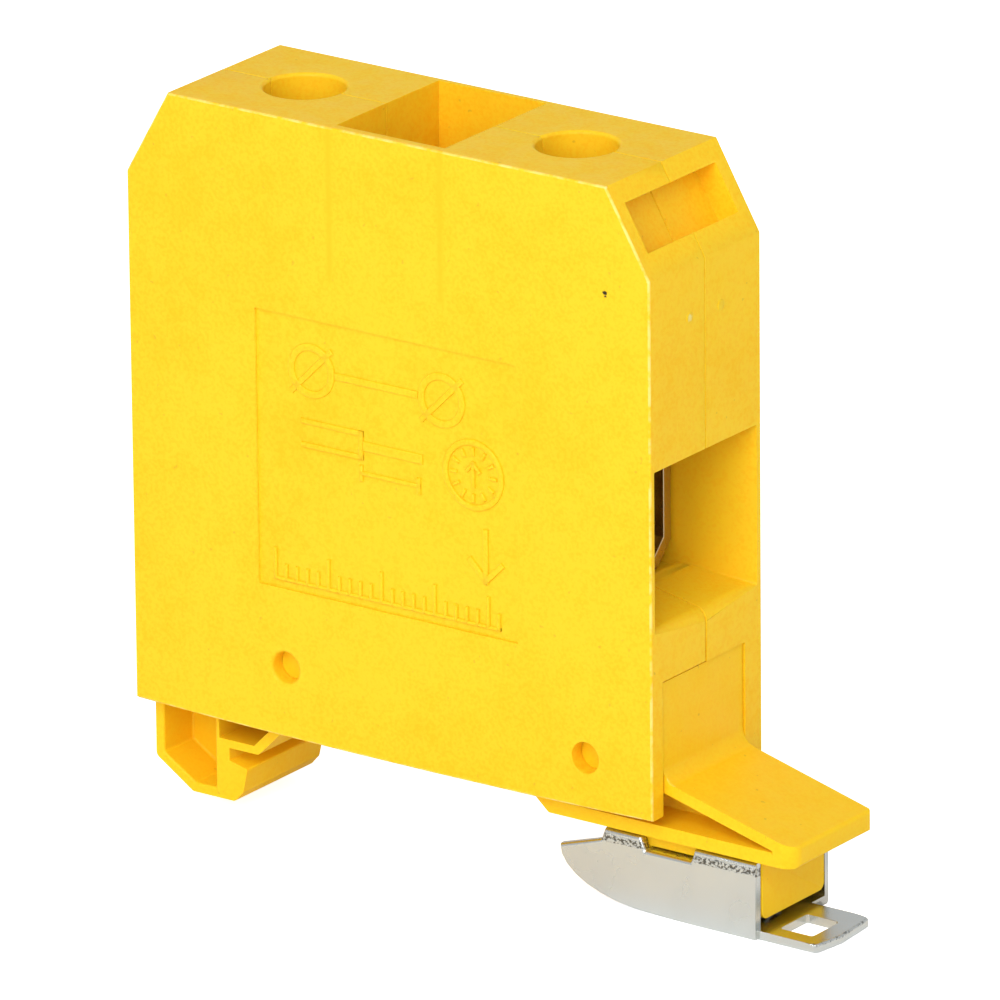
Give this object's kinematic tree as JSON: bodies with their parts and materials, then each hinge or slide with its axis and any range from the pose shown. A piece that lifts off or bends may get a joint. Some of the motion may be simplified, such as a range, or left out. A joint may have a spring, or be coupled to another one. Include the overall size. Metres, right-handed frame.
{
  "type": "din rail terminal block",
  "caption": "Feed-through screw terminal block for a top-hat rail: split yellow housing, hooked rail foot, sprung metal rail catch, and a screw clamp at each end of a current bar.",
  "frame": {"origin": "on the rail's centre line, on the plane of the hook jaw's underside, where the rail's flange touches it", "axes": "+X across the rail from the hook to the catch, +Y along the rail, +Z away from the rail"},
  "size_m": [0.0625, 0.0144, 0.0583],
  "materials": {
    "housing_yellow": "moulded yellow polyamide with a fine satin grain",
    "foot_yellow": "moulded yellow polyamide, slightly deeper in tone",
    "nickel_plate": "satin nickel plate on sheared sheet steel",
    "spring_steel": "drawn spring wire",
    "chromated_steel": "yellow chromated zinc plate",
    "zinc_screw": "clear zinc plate",
    "tinned_copper": "tin plate on copper"
  },
  "bodies": {
    "housing": {"front_shell": "housing_yellow", "rear_shell": "housing_yellow", "rail_foot": "foot_yellow", "current_bar": "tinned_copper", "catch_spring": "spring_steel"},
    "catch": {"rail_catch": "nickel_plate"},
    "left_cage": {"left_clamp_cage": "chromated_steel"},
    "left_screw": {"left_clamp_screw": "zinc_screw"},
    "right_cage": {"right_clamp_cage": "chromated_steel"},
    "right_screw": {"right_clamp_screw": "zinc_screw"}
  },
  "joints": [
    {"name": "catch_slide", "type": "slide", "parent": "housing", "child": "catch", "axis": [1, 0, 0], "range_m": [0, 0.003], "stiffness_N_per_m": 400, "springref_m": -0.004, "deforming": ["catch_spring"]},
    {"name": "left_screw_turn", "type": "hinge", "parent": "housing", "child": "left_screw", "pos_m": [-0.01345, 0, 0.0331], "axis": [0, 0, 1], "range_deg": [-3601, 0]},
    {"name": "left_cage_travel", "type": "slide", "parent": "housing", "child": "left_cage", "axis": [0, 0, 1], "range_m": [0, 0.008]},
    {"name": "right_screw_turn", "type": "hinge", "parent": "housing", "child": "right_screw", "pos_m": [0.01195, 0, 0.0331], "axis": [0, 0, 1], "range_deg": [-3601, 0]},
    {"name": "right_cage_travel", "type": "slide", "parent": "housing", "child": "right_cage", "axis": [0, 0, 1], "range_m": [0, 0.008]}
  ],
  "couplings": [
    {"joint": "left_screw_turn", "follows": "left_cage_travel", "rad_per_m": -7854},
    {"joint": "right_screw_turn", "follows": "right_cage_travel", "rad_per_m": -7854}
  ]
}
